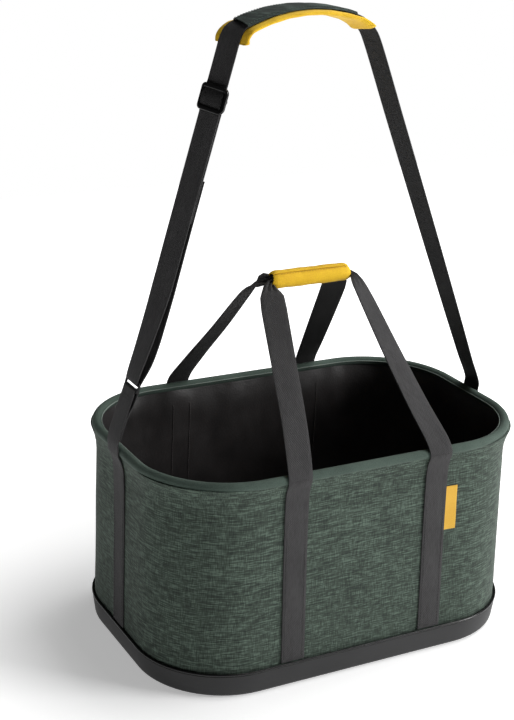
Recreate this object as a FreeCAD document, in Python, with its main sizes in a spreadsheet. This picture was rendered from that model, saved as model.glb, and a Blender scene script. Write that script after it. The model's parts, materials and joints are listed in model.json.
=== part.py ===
import FreeCAD, Part
import math
import os

import Sketcher

from FreeCAD import Placement, Rotation, Vector

# Soft-sided carry basket: moulded tray, stiffened fabric wall on a wire rim, two webbing handles
# that meet in a padded grip, and an adjustable shoulder strap with a pad.
# +X runs along the length, -Y is the front, +Z is up; the origin is the centre of the tray's underside.

doc = FreeCAD.newDocument("carry_basket")

# ---------------------------------------------------------------- driving dimensions (mm, degrees)
SIZES = {
    "tray_length": 521, "tray_width": 353, "tray_corner": 115, "tray_height": 30,
    "tray_wall": 2.2, "tray_floor": 3, "tray_chamfer": 4, "piping_radius": 1.6,
    "board_thickness": 3, "board_margin": 9, "floor_lining_thickness": 0.8,
    "wall_foot_length": 514, "wall_foot_width": 346, "wall_foot_corner": 111, "wall_foot_height": 8,
    "wall_top_length": 511, "wall_top_width": 328, "wall_top_corner": 114, "wall_top_height": 269.5,
    "fabric_thickness": 1, "wall_board_thickness": 3, "lining_thickness": 0.6, "layer_gap": 0.1,
    "rim_length": 516, "rim_width": 332, "rim_corner": 116, "rim_height": 276,
    "rim_radius": 6, "rim_wire_radius": 2, "rim_bore_radius": 2.1,
    "webbing_width": 32, "webbing_thickness": 1.6, "strap_offset": 99.4,
    "label_width": 16.5, "label_height": 59, "label_thickness": 0.8, "label_foot": 167,
    "grip_length": 112, "grip_height": 468, "grip_radius": 12.5, "cover_thickness": 1.1,
    "grip_bore": 9, "grip_seam_angle": 123, "grip_half_gap": 0.4,
    "bundle_height": 8.4, "bundle_thickness": 3, "bundle_length": 130, "bundle_offset": 4.6,
    "bundle_drop": 1, "neck_width": 11, "neck_thickness": 3, "neck_place": 62.5,
    "handle_hinge_height": 284, "handle_start": 7.5, "shoulder_place": 67, "shoulder_reach": 25,
    "shoulder_height": 449, "shoulder_turn": 27, "strap_clearance": 0.2, "strap_foot": 34, "strap_flare": 258,
    "flare_rise": 9.5, "strap_top": 283,
    "swing_start": 290, "swing_foot_width": 11, "swing_full_height": 303, "lean_height": 306,
    "ring_height": 357, "ring_place": -240, "ring_wire_radius": 1.6, "ring_slot": 7, "ring_side": 36.7,
    "ring_corner": 2.5, "arch_middle": -24.3, "arch_top": 799.5, "arch_radius": 208,
    "left_bend_radius": 25, "right_bend_radius": 57, "left_turn": 22, "right_turn": 13,
    "pad_width": 50, "cover_width": 36,
    "pad_cover_thickness": 1.4, "pad_foam_thickness": 5, "pad_backing_thickness": 1.2,
    "twist_length": 120, "ring_bow": 6.5,
    "slider_length": 32, "slider_width": 42, "slider_rail": 4, "slider_bar": 5, "slider_bar_depth": 2.6,
    "slider_clearance": 0.4, "slider_place": 350, "return_start": 5.2, "return_length": 255,
    "sewn_end_length": 145, "layer_step": 2,
}

sheet = doc.addObject("Spreadsheet::Sheet", "sizes")
for row, (alias, value) in enumerate(SIZES.items(), start=1):
    sheet.set(f"A{row}", alias)
    sheet.set(f"B{row}", str(value))
    sheet.setAlias(f"B{row}", alias)
doc.recompute()


def size(alias):
    return float(sheet.get(alias))


parts = []


def keep(obj, label):
    obj.Label = label
    parts.append(obj)
    return obj


# ---------------------------------------------------------------- sketches
def bound(sketch, constraint, name, expression):
    index = sketch.addConstraint(constraint)
    sketch.renameConstraint(index, name)
    sketch.setExpression(f"Constraints.{name}", expression)


def new_sketch(owner, name, placement):
    if owner is None:
        sketch = doc.addObject("Sketcher::SketchObject", name)
        sketch.Placement = placement
    else:
        sketch = owner.newObject("Sketcher::SketchObject", name)
        plane = next(f for f in owner.Origin.OriginFeatures if f.Role == "XY_Plane")
        sketch.AttachmentSupport = [(plane, "")]
        sketch.MapMode = "FlatFace"
        sketch.AttachmentOffset = placement
    return sketch


def rounded_rectangle(owner, name, length, width, corner, z):
    """Rounded rectangle centred on Z; length, width, corner and height z are expressions."""
    sketch = new_sketch(owner, name, Placement())
    path = ".AttachmentOffset.Base.z" if owner else ".Placement.Base.z"
    sketch.setExpression(path, z)
    a, b, r = 200.0, 120.0, 50.0
    line = Part.LineSegment
    up = Vector(0, 0, 1)
    corners = [(a - r, b - r, 0), (-a + r, b - r, 90), (-a + r, -b + r, 180), (a - r, -b + r, 270)]
    edges = [
        line(Vector(a, -b + r, 0), Vector(a, b - r, 0)), line(Vector(a - r, b, 0), Vector(-a + r, b, 0)),
        line(Vector(-a, b - r, 0), Vector(-a, -b + r, 0)), line(Vector(-a + r, -b, 0), Vector(a - r, -b, 0)),
    ]
    for index, (x, y, start) in enumerate(corners):
        sketch.addGeometry(edges[index], False)
        circle = Part.Circle(Vector(x, y, 0), up, r)
        sketch.addGeometry(Part.ArcOfCircle(circle, math.radians(start), math.radians(start + 90)), False)
    for side in range(4):
        here, arc, after = 2 * side, 2 * side + 1, (2 * side + 2) % 8
        sketch.addConstraint(Sketcher.Constraint("Tangent", here, 2, arc, 1))
        sketch.addConstraint(Sketcher.Constraint("Tangent", arc, 2, after, 1))
        sketch.addConstraint(Sketcher.Constraint("Vertical" if side % 2 == 0 else "Horizontal", here))
    for arc in (3, 5, 7):
        sketch.addConstraint(Sketcher.Constraint("Equal", 1, arc))
    sketch.addConstraint(Sketcher.Constraint("Symmetric", 1, 3, 5, 3, -1, 1))
    bound(sketch, Sketcher.Constraint("DistanceX", 4, 1, 0, 1, 2 * a), "length", length)
    bound(sketch, Sketcher.Constraint("DistanceY", 6, 1, 2, 1, 2 * b), "width", width)
    bound(sketch, Sketcher.Constraint("Radius", 1, r), "corner", corner)
    return sketch


def rectangle(name, width, thickness, placement):
    """Rectangle centred on its placement, width along local X and thickness along local Y."""
    sketch = new_sketch(None, name, placement)
    a, b = 10.0, 2.0
    points = [Vector(-a, -b, 0), Vector(a, -b, 0), Vector(a, b, 0), Vector(-a, b, 0)]
    for index in range(4):
        sketch.addGeometry(Part.LineSegment(points[index], points[(index + 1) % 4]), False)
    for index in range(4):
        sketch.addConstraint(Sketcher.Constraint("Coincident", index, 2, (index + 1) % 4, 1))
        sketch.addConstraint(Sketcher.Constraint("Horizontal" if index % 2 == 0 else "Vertical", index))
    sketch.addConstraint(Sketcher.Constraint("Symmetric", 0, 1, 1, 2, -1, 1))
    bound(sketch, Sketcher.Constraint("DistanceX", 0, 1, 0, 2, 2 * a), "width", width)
    bound(sketch, Sketcher.Constraint("DistanceY", 1, 1, 1, 2, 2 * b), "thickness", thickness)
    return sketch


# ---------------------------------------------------------------- tray, board and wall layers
def lofted_body(name, sections, subtractive=False, body=None):
    """Adds a ruled loft through rounded rectangles (length, width, corner, z) to a body."""
    body = body or doc.addObject("PartDesign::Body", name)
    kind = "SubtractiveLoft" if subtractive else "AdditiveLoft"
    step = "cut" if subtractive else "add"
    sketches = [
        rounded_rectangle(body, f"{name}_{step}_{index}", *section) for index, section in enumerate(sections)
    ]
    loft = body.newObject(f"PartDesign::{kind}", f"{name}_{step}_loft")
    loft.Profile = sketches[0]
    loft.Sections = sketches[1:]
    loft.Ruled = True
    return body


def ring_section(prefix, inset, z):
    """Expressions of one rounded rectangle of the named family, drawn in by inset on every side."""
    return (
        f"sizes.{prefix}_length - 2 * ({inset})", f"sizes.{prefix}_width - 2 * ({inset})",
        f"sizes.{prefix}_corner - ({inset})", z,
    )


def layer_body(name, inset, thickness):
    """Wall layer: a lofted ring whose outer face is inset from the wall's outer face."""
    foot, top = "sizes.wall_foot_height", "sizes.wall_top_height"
    body = lofted_body(name, [ring_section("wall_foot", inset, foot), ring_section("wall_top", inset, top)])
    doc.recompute()
    inner = f"{inset} + {thickness}"
    lofted_body(name, [
        ring_section("wall_foot", inner, f"{foot} - 1"), ring_section("wall_top", inner, f"{top} + 1"),
    ], subtractive=True, body=body)
    return keep(body, name)


def plate(name, inset, z, thickness):
    """Flat plate with the tray's outline, drawn in by inset."""
    body = doc.addObject("PartDesign::Body", name)
    outline = rounded_rectangle(body, f"{name}_outline", *ring_section("tray", inset, z))
    pad = body.newObject("PartDesign::Pad", f"{name}_pad")
    pad.Profile = outline
    pad.setExpression("Length", thickness)
    return keep(body, name)


# Tray: chamfered foot, slightly flared side, open top.
tray_top = "sizes.tray_height"
tray = lofted_body("base_tray", [
    ring_section("tray", "sizes.tray_chamfer + 1", "0"),
    ring_section("tray", "1", "sizes.tray_chamfer"),
    ring_section("tray", "0", tray_top),
])
doc.recompute()
lofted_body("base_tray", [
    ring_section("tray", "sizes.tray_wall + 1", "sizes.tray_floor"),
    ring_section("tray", "sizes.tray_wall", f"{tray_top} + 1"),
], subtractive=True, body=tray)
keep(tray, "base_tray")

plate("base_board", "sizes.board_margin", "sizes.tray_floor + 0.1", "sizes.board_thickness")
plate("floor_lining", "sizes.board_margin", "sizes.tray_floor + sizes.board_thickness + 0.2",
      "sizes.floor_lining_thickness")

board_inset = "sizes.fabric_thickness + sizes.layer_gap"
lining_inset = f"{board_inset} + sizes.wall_board_thickness + sizes.layer_gap"
layer_body("wall_fabric", "0", "sizes.fabric_thickness")
layer_body("wall_board", board_inset, "sizes.wall_board_thickness")
layer_body("wall_lining", lining_inset, "sizes.lining_thickness")


# ---------------------------------------------------------------- rim, piping and ring
def tube_ring(name, outline, radius, placement):
    """Round tube swept along a rounded rectangle; outline is (length, width, corner) expressions."""
    path = rounded_rectangle(None, f"{name}_path", *outline, "0")
    path.Placement = placement
    path.setExpression(".Placement.Base.z", None)
    doc.recompute()
    start = path.Shape.Edges[0].Vertexes[0].Point
    along = path.Shape.Edges[0].tangentAt(path.Shape.Edges[0].FirstParameter)
    profile = doc.addObject("Sketcher::SketchObject", f"{name}_profile")
    profile.Placement = Placement(start, Rotation(Vector(0, 0, 1), along))
    profile.addGeometry(Part.Circle(Vector(), Vector(0, 0, 1), 1), False)
    profile.addConstraint(Sketcher.Constraint("Coincident", 0, 3, -1, 1))
    bound(profile, Sketcher.Constraint("Radius", 0, 1), "radius", radius)
    sweep = doc.addObject("Part::Sweep", name)
    sweep.Sections = [profile]
    sweep.Spine = (path, [f"Edge{index + 1}" for index in range(8)])
    sweep.Solid = True
    sweep.Transition = "Right corner"
    return sweep


def cut(name, base, tool):
    result = doc.addObject("Part::Cut", name)
    result.Base, result.Tool = base, tool
    return result


def fuse(name, shapes):
    result = doc.addObject("Part::MultiFuse", name)
    result.Shapes = shapes
    return result


def level(z):
    return Placement(Vector(0, 0, z), Rotation())


rim_outline = ("sizes.rim_length", "sizes.rim_width", "sizes.rim_corner")
rim_level = level(size("rim_height"))
keep(tube_ring("rim_wire", rim_outline, "sizes.rim_wire_radius", rim_level), "rim_wire")
rim_tube = tube_ring("rim_tube", rim_outline, "sizes.rim_radius", rim_level)
rim_bore = tube_ring("rim_bore", rim_outline, "sizes.rim_bore_radius", rim_level)
keep(cut("rim_binding", rim_tube, rim_bore), "rim_binding")

piping_level = level(size("tray_height") + size("piping_radius") + size("layer_gap"))
piping_outline = ring_section("tray", "sizes.tray_wall / 2", "0")[:3]
keep(tube_ring("base_piping", piping_outline, "sizes.piping_radius", piping_level), "base_piping")


# ---------------------------------------------------------------- webbing ribbons
def unit(vector):
    return Vector(vector) / vector.Length


def station(point, tangent, across):
    """Placement whose local Z is the tangent and whose local X is across, made square to it."""
    tangent = unit(tangent)
    across = unit(across - tangent * across.dot(tangent))
    return Placement(point, Rotation(across, tangent.cross(across), tangent, "ZXY"))


def ribbon(name, places, width="sizes.webbing_width", thickness="sizes.webbing_thickness", last=None):
    """Ruled ribbon through placements; last gives the final section its own (width, thickness)."""
    sections = []
    for index, place in enumerate(places):
        ending = last and index == len(places) - 1
        wide, thick = last if ending else (width, thickness)
        sections.append(rectangle(f"{name}_section_{index}", wide, thick, place))
    loft = doc.addObject("Part::Loft", name)
    loft.Sections = sections
    loft.Solid = True
    loft.Ruled = True
    return loft


def along_points(points, across):
    """Stations on a polyline, each square to the mean direction of its two neighbours."""
    places = []
    for index, point in enumerate(points):
        before = unit(point - points[index - 1]) if index else Vector()
        after = unit(points[index + 1] - point) if index < len(points) - 1 else Vector()
        direction = across[index] if isinstance(across, list) else across
        places.append(station(point, before + after, direction))
    return places


half_thickness = size("webbing_thickness") / 2
X, Y, Z = Vector(1, 0, 0), Vector(0, 1, 0), Vector(0, 0, 1)


def wall_half(foot, top, z):
    """Half of the wall's outer length or width at height z."""
    share = (z - size("wall_foot_height")) / (size("wall_top_height") - size("wall_foot_height"))
    return (size(foot) * (1 - share) + size(top) * share) / 2


def wall_run(name, foot, top, rim, outward, across, offset):
    """Webbing sewn up the wall: flat on the fabric, then flared out over the rim."""
    gap = half_thickness + size("layer_gap")
    flare = size("strap_flare")
    over_rim = size(rim) / 2 + size("rim_radius") + size("strap_clearance") + half_thickness
    profile = [
        (wall_half(foot, top, size("strap_foot")) + gap, size("strap_foot")),
        (wall_half(foot, top, flare) + gap, flare),
        (over_rim, flare + size("flare_rise")),
        (over_rim, size("strap_top")),
    ]
    points = [outward * out + across * offset + Z * height for out, height in profile]
    return keep(ribbon(name, along_points(points, across)), name)


SIDES = (("left", -1), ("right", 1))
for row, out in (("front", -Y), ("back", Y)):
    for side, sign in SIDES:
        wall_run(f"{row}_strap_{side}", "wall_foot_width", "wall_top_width", "rim_width",
                 out, X, sign * size("strap_offset"))
for side, sign in SIDES:
    wall_run(f"end_strap_{side}", "wall_foot_length", "wall_top_length", "rim_length", X * sign, Y, 0)

# Label tab: flat on the front wall, beside the edge of the right strap.
label_reach = wall_half("wall_foot_width", "wall_top_width", size("label_foot"))
wall_slope = (size("wall_foot_width") - size("wall_top_width")) / 2 / (
    size("wall_top_height") - size("wall_foot_height"))
label = doc.addObject("Part::Box", "label_tab")
for side, alias in (("Length", "label_width"), ("Width", "label_thickness"), ("Height", "label_height")):
    label.setExpression(side, f"sizes.{alias}")
label.Placement = Placement(
    Vector(size("strap_offset") + size("webbing_width") / 2 + size("layer_gap"),
           -label_reach - size("label_thickness") - size("layer_gap"), size("label_foot")),
    Rotation(X, -math.degrees(math.atan(wall_slope))))
keep(label, "label_tab")


# ---------------------------------------------------------------- handles and grip
def sector(name, outer, inner, start, sweep):
    """Part of a tube along X, from angle start (about +X, measured from +Y) through sweep degrees."""
    turn = math.radians(start)
    along = Vector(0, math.cos(turn), math.sin(turn))
    pieces = []
    for kind, radius in (("skin", outer), ("bore", inner)):
        tube = doc.addObject("Part::Cylinder", f"{name}_{kind}")
        tube.setExpression("Radius", radius)
        tube.setExpression("Height", "sizes.grip_length")
        tube.Angle = sweep if kind == "skin" else 360
        tube.Placement = Placement(
            Vector(-size("grip_length") / 2, 0, size("grip_height")), Rotation(along, X.cross(along), X, "ZXY"))
        pieces.append(tube)
    return keep(cut(name, *pieces), name)


def handle(row, out):
    """Webbing of one handle: two legs that narrow to a folded bundle inside the grip."""
    hinge_reach = size("rim_width") / 2 + size("rim_radius") + size("strap_clearance") + half_thickness
    bundle_height = size("grip_height") - size("bundle_drop")
    legs = []
    for side, sign in SIDES:
        hinge = out * hinge_reach + X * (sign * size("strap_offset")) + Z * size("handle_hinge_height")
        shoulder = out * size("shoulder_reach") + X * (sign * size("shoulder_place")) + Z * size("shoulder_height")
        neck = out * size("bundle_offset") + X * (sign * size("neck_place")) + Z * bundle_height
        start = hinge + unit(shoulder - hinge) * size("handle_start")
        turned = Rotation(Z, -sign * out.y * size("shoulder_turn")).multVec(X)
        legs.append(ribbon(f"{row}_leg_{side}", along_points([start, shoulder, neck], [X, turned, X]),
                           last=("sizes.neck_width", "sizes.neck_thickness")))
    bundle = doc.addObject("Part::Box", f"{row}_bundle")
    bundle.setExpression("Length", "sizes.bundle_length")
    bundle.setExpression("Width", "sizes.bundle_thickness")
    bundle.setExpression("Height", "sizes.bundle_height")
    centre = out * size("bundle_offset") + Z * bundle_height
    corner = Vector(size("bundle_length"), size("bundle_thickness"), size("bundle_height")) / 2
    bundle.Placement = Placement(centre - corner, Rotation())
    return keep(fuse(f"{row}_handle_webbing", [bundle] + legs), f"{row}_handle_webbing")


seam = size("grip_seam_angle")
gap_angle = math.degrees(size("grip_half_gap") / size("grip_bore"))
cover_inner = "sizes.grip_radius - sizes.cover_thickness"
for row, out, start, end in (("front", -Y, seam, 270), ("back", Y, -90, seam)):
    handle(row, out)
    sector(f"{row}_grip_cover", "sizes.grip_radius", cover_inner, start + gap_angle, end - start - 2 * gap_angle)
    sector(f"{row}_grip_foam", f"{cover_inner} - sizes.layer_gap", "sizes.grip_bore",
           start + gap_angle, end - start - 2 * gap_angle)


# ---------------------------------------------------------------- shoulder strap
# The strap's middle line lies in the XZ plane. Over the shoulder it is three arcs, each given by the
# angles between which it runs; an angle is the lean of the strap's outward normal from +Z towards +X.
LEFT_ANGLES = (-74, -64, -54, -44, -34)
TOP_ANGLES = (-23, -18, -13, -8, -3, 2, 7, 12, 17)
RIGHT_ANGLES = (26, 35, 44, 52, 60, 68)
STRAP_ANGLES = LEFT_ANGLES + TOP_ANGLES + RIGHT_ANGLES
PAD_ANGLES = LEFT_ANGLES + TOP_ANGLES + RIGHT_ANGLES[:3]


def lean(angle):
    return X * math.sin(math.radians(angle)) + Z * math.cos(math.radians(angle))


def turned_across(degrees):
    """Direction of the webbing's width, turned about +Z away from +Y."""
    return Rotation(Z, degrees).multVec(Y)


top_centre = X * size("arch_middle") + Z * (size("arch_top") - size("arch_radius"))
ARCS = [
    (TOP_ANGLES[0], "left_bend_radius"), (TOP_ANGLES[-1], "arch_radius"), (RIGHT_ANGLES[-1], "right_bend_radius"),
]


def arch_station(angle, lift=0):
    """Place on the strap at an angle, lifted along its outward normal."""
    alias = next(alias for end, alias in ARCS if angle <= end)
    joint = min(max(angle, TOP_ANGLES[0]), TOP_ANGLES[-1])
    centre = top_centre + lean(joint) * (size("arch_radius") - size(alias)) if joint != angle else top_centre
    radius = size(alias) if joint != angle else size("arch_radius")
    share = (angle - STRAP_ANGLES[0]) / (STRAP_ANGLES[-1] - STRAP_ANGLES[0])
    across = turned_across(size("left_turn") * (1 - share) + size("right_turn") * share)
    return station(centre + lean(angle) * (radius + lift), lean(angle + 90), across)


def arch_ribbon(name, angles, lift, width, thickness):
    """Band over the given angles, centred lift above the webbing's middle."""
    return keep(ribbon(name, [arch_station(angle, lift) for angle in angles], width, thickness), name)


ring_middle = Vector(size("ring_place"), 0, size("ring_height"))
left_top, right_top = arch_station(STRAP_ANGLES[0]).Base, arch_station(STRAP_ANGLES[-1]).Base
rim_reach = size("rim_length") / 2 + size("rim_radius") + size("strap_clearance") + half_thickness
right_foot = Vector(rim_reach, 0, size("lean_height"))
leg_direction = unit(left_top - ring_middle)

# Ring: a rounded rectangle of wire whose bars lie along Y, in the plane of the leg.
bar_spacing = size("ring_slot") + 2 * size("ring_wire_radius")
ring_leg = leg_direction
ring_place = Placement(ring_middle, Rotation(Y, ring_leg, Y.cross(ring_leg), "ZXY"))
ring_outline = ("sizes.ring_side", "sizes.ring_slot + 2 * sizes.ring_wire_radius", "sizes.ring_corner")
keep(tube_ring("anchor_ring", ring_outline, "sizes.ring_wire_radius", ring_place), "anchor_ring")
upper_bar = ring_middle + ring_leg * (bar_spacing / 2)
lower_bar = ring_middle - ring_leg * (bar_spacing / 2)


def webbing_loop(name, bar):
    """Webbing wrapped once round a bar of the ring."""
    pieces = []
    for kind, radius in (("skin", "sizes.ring_wire_radius + sizes.layer_gap + sizes.webbing_thickness"),
                         ("bore", "sizes.ring_wire_radius + sizes.layer_gap")):
        tube = doc.addObject("Part::Cylinder", f"{name}_{kind}")
        tube.setExpression("Radius", radius)
        tube.setExpression("Height", "sizes.webbing_width")
        tube.Placement = Placement(bar - Y * (size("webbing_width") / 2), Rotation(Z, Y))
        pieces.append(tube)
    return cut(name, *pieces)


wrap_radius = size("ring_wire_radius") + size("layer_gap") + half_thickness
outward = ring_leg.cross(Y)

# Anchor: doubled webbing from the rim up to the ring, wrapped round the lower bar. Both ends of the
# strap taper to their foot, so that their corners pass over the wall webbing when the strap swings.
double = "2 * sizes.webbing_thickness"
anchor_points = [
    lower_bar - ring_leg * (size("ring_wire_radius") + size("webbing_thickness")),
    Vector(-rim_reach, 0, size("lean_height")), Vector(-rim_reach, 0, size("swing_full_height")),
    Vector(-rim_reach, 0, size("swing_start")),
]
anchor_run = ribbon("anchor_run", along_points(anchor_points, Y), thickness=double,
                    last=("sizes.swing_foot_width", double))
anchor_loop = webbing_loop("anchor_wrap", lower_bar)
keep(fuse("anchor_loop", [anchor_run, anchor_loop]), "anchor_loop")


# Left leg: straight but for its foot, where it bows outwards to reach round the ring's upper bar.
leg_base = upper_bar + outward * (wrap_radius - size("ring_bow"))
leg_direction = unit(left_top - leg_base)
leg_length = (left_top - leg_base).Length - size("layer_gap")


def leg_point(distance, depth):
    """Point of the left leg at a distance above its base, sunk inwards by depth."""
    return leg_base - outward * depth + leg_direction * distance


def leg_stations(depths):
    """Stations from a table of distance up the leg and depth; the width turns over the twist length."""
    return [
        station(leg_point(distance, depth), leg_direction,
                turned_across(size("left_turn") * min(distance / size("twist_length"), 1)))
        for distance, depth in depths.items()
    ]


# The outer layer starts where its inner face leaves the wrapped turn tangentially.
leg_start = math.sqrt((wrap_radius + half_thickness) ** 2 - (wrap_radius - half_thickness) ** 2)
leg_start += 2 * size("layer_gap")
outer_run = {leg_start: -size("ring_bow"), 30: -4.6, 60: -2.6, 90: -1, 120: 0, leg_length: 0}
keep(ribbon("strap_leg_left", leg_stations(outer_run)), "strap_leg_left")
keep(webbing_loop("strap_wrap", upper_bar), "strap_wrap")

# The inner layer bows away from the outer one above the ring and closes up to it along the leg.
step = size("layer_step")
return_run = {size("return_start"): 2 * wrap_radius - size("ring_bow"), 30: 5.4, 60: 6.6, 90: 6, 120: 5,
              size("return_length"): 2 * step}
keep(ribbon("strap_return", leg_stations(return_run)), "strap_return")

bar_foot = size("slider_place") - size("slider_bar") / 2
sewn_run = {bar_foot - size("sewn_end_length"): step, bar_foot - 2 * size("layer_gap"): step}
keep(ribbon("strap_sewn_end", leg_stations(sewn_run)), "strap_sewn_end")

arch_ribbon("strap_over_pad", STRAP_ANGLES, 0, "sizes.webbing_width", "sizes.webbing_thickness")

# Shares of its top's turn that the right leg keeps on its way down.
RIGHT_TWIST = (1, 1, 0.95, 0.85, 0.65, 0.35, 0)
right_points = [right_top + (right_foot - right_top) * (index / (len(RIGHT_TWIST) - 1))
                for index in range(len(RIGHT_TWIST))]
right_points += [Vector(rim_reach, 0, size(height)) for height in ("swing_full_height", "swing_start")]
right_across = [turned_across(size("right_turn") * share) for share in RIGHT_TWIST + (0, 0)]
right_foot_size = ("sizes.swing_foot_width", "sizes.webbing_thickness")
keep(ribbon("strap_leg_right", along_points(right_points, right_across), last=right_foot_size),
     "strap_leg_right")

cover, foam, backing = size("pad_cover_thickness"), size("pad_foam_thickness"), size("pad_backing_thickness")
clear = half_thickness + 2 * size("layer_gap")
arch_ribbon("pad_cover", TOP_ANGLES, clear + cover / 2, "sizes.cover_width", "sizes.pad_cover_thickness")
arch_ribbon("pad_foam", PAD_ANGLES, -clear - foam / 2, "sizes.pad_width", "sizes.pad_foam_thickness")
arch_ribbon("pad_backing", PAD_ANGLES, -clear - foam - 2 * size("layer_gap") - backing / 2,
            "sizes.pad_width", "sizes.pad_backing_thickness")


# ---------------------------------------------------------------- slider
def slider_box(name, low, high):
    """Box in the leg's own axes: (along the leg, across the webbing, outwards) from low to high."""
    box = doc.addObject("Part::Box", name)
    box.Length, box.Width, box.Height = (high[axis] - low[axis] for axis in range(3))
    across = turned_across(size("left_turn"))
    across = unit(across - leg_direction * across.dot(leg_direction))
    normal = leg_direction.cross(across)
    turned = Rotation(leg_direction, normal.cross(leg_direction), normal, "XZY")
    centre = leg_point(size("slider_place"), 0)
    box.Placement = Placement(centre + turned.multVec(Vector(*low)), turned)
    return box


half_length, half_width = size("slider_length") / 2, size("slider_width") / 2
rail, bar, depth = size("slider_rail"), size("slider_bar"), size("slider_bar_depth")
lift = half_thickness + size("slider_clearance")
slider_pieces = [
    slider_box("slider_bar_middle", (-bar / 2, -half_width, -lift - depth), (bar / 2, half_width, -lift)),
    slider_box("slider_bar_low", (-half_length, -half_width, lift), (bar - half_length, half_width, lift + depth)),
    slider_box("slider_bar_high", (half_length - bar, -half_width, lift), (half_length, half_width, lift + depth)),
    slider_box("slider_rail_front", (-half_length, -half_width, -lift - depth),
               (half_length, rail - half_width, lift + depth)),
    slider_box("slider_rail_back", (-half_length, half_width - rail, -lift - depth),
               (half_length, half_width, lift + depth)),
]
keep(fuse("slider_frame", slider_pieces), "slider_frame")


# ---------------------------------------------------------------- check and export
doc.recompute()
failed = [obj.Name for obj in doc.Objects if "Invalid" in obj.State or "Error" in obj.State]
failed += [part.Label for part in parts if part.Shape.isNull() or not part.Shape.isValid()]
if failed:
    raise RuntimeError("these objects failed: " + ", ".join(failed))

os.makedirs("parts", exist_ok=True)
for part in parts:
    part.Shape.exportStep(os.path.join("parts", f"{part.Label}.step"))
    box = part.Shape.BoundBox
    print(f"{part.Label:22s} {part.Shape.Volume / 1000:9.2f} cm3  "
          f"x {box.XMin:7.1f} {box.XMax:7.1f}  y {box.YMin:7.1f} {box.YMax:7.1f}  z {box.ZMin:6.1f} {box.ZMax:6.1f}")
print("slide axis", [round(value, 6) for value in leg_direction])
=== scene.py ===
import bpy
import bmesh
import json
import math
from mathutils import Matrix, Vector


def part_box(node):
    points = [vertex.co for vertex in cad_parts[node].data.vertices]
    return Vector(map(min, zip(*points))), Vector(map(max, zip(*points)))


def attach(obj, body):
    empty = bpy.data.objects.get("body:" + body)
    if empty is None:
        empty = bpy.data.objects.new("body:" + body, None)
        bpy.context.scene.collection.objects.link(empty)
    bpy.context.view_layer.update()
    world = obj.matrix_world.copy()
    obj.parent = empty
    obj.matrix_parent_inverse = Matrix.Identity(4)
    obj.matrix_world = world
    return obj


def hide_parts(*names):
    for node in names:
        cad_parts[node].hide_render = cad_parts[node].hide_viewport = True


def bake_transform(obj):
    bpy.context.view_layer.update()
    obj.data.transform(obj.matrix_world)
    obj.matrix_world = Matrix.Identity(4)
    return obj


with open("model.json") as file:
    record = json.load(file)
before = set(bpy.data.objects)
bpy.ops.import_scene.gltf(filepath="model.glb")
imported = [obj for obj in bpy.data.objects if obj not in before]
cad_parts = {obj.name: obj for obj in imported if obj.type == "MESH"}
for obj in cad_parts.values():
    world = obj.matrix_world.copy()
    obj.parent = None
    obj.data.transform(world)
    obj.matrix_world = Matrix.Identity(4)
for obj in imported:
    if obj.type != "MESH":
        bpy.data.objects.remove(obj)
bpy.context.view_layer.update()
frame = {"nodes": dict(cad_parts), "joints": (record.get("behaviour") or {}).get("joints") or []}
mm = 0.001

# degrees, millimetres of lens and metres
view = {"azimuth": -28.28, "elevation": 19.83, "roll": 1.97, "lens": 75.22,
        "place": (-0.9139, -1.5682, 1.0069)}


def addCamera():
    az, el, roll = (math.radians(view[key]) for key in ("azimuth", "elevation", "roll"))
    back = Vector((math.sin(az) * math.cos(el), -math.cos(az) * math.cos(el), math.sin(el)))
    level = (-back).cross(Vector((0, 0, 1))).normalized()
    upright = level.cross(-back)
    right = level * math.cos(roll) + upright * math.sin(roll)
    up = upright * math.cos(roll) - level * math.sin(roll)
    data = bpy.data.cameras.new("camera")
    data.lens = view["lens"]
    camera = bpy.data.objects.new("camera", data)
    bpy.context.scene.collection.objects.link(camera)
    turned = Matrix((right, up, back)).transposed().to_4x4()
    camera.matrix_world = Matrix.Translation(view["place"]) @ turned
    bpy.context.scene.camera = camera


addCamera()


# sRGB, written #rrggbb, to linear
def rgb(code):
    parts = [int(code[i:i + 2], 16) / 255 for i in (1, 3, 5)]
    return tuple(c / 12.92 if c <= 0.04045 else ((c + 0.055) / 1.055) ** 2.4 for c in parts) + (1,)


# adds a node; a setting is an attribute's name or an input's name or number
def addNode(tree, kind, settings=None, **links):
    node = tree.nodes.new("ShaderNode" + kind)
    for key, value in (settings or {}).items():
        if isinstance(key, str) and hasattr(node, key):
            setattr(node, key, value)
        else:
            node.inputs[key].default_value = value
    for key, source in links.items():
        tree.links.new(source, node.inputs[int(key[1:]) if key[1:].isdigit() else key.replace("_", " ")])
    return node


def newMaterial(name, **settings):
    material = bpy.data.materials.new(name)
    material.use_nodes = True
    tree = material.node_tree
    shader = tree.nodes["Principled BSDF"]
    for key, value in settings.items():
        shader.inputs[key.replace("_", " ")].default_value = value
    return material, tree, shader


def scaled(tree, source, scale):
    return addNode(tree, "Mapping", {"Scale": scale}, Vector=source).outputs[0]


def noise(tree, vector, detail=2.0, rough=0.5):
    settings = {"Scale": 1.0, "Detail": detail, "Roughness": rough}
    return addNode(tree, "TexNoise", settings, Vector=vector).outputs[0]


def mathNode(tree, operation, first, second=None, third=None):
    node = addNode(tree, "Math", {"operation": operation})
    for index, value in enumerate((first, second, third)):
        if value is None:
            continue
        if isinstance(value, (int, float)):
            node.inputs[index].default_value = value
        else:
            tree.links.new(value, node.inputs[index])
    return node.outputs[0]


def ramp(tree, source, stops):
    node = addNode(tree, "ValToRGB", {}, Fac=source)
    band = node.color_ramp
    while len(band.elements) < len(stops):
        band.elements.new(0.5)
    for element, (place, colour) in zip(band.elements, stops):
        element.position = place
        element.color = rgb(colour)
    return node.outputs[0]


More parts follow.
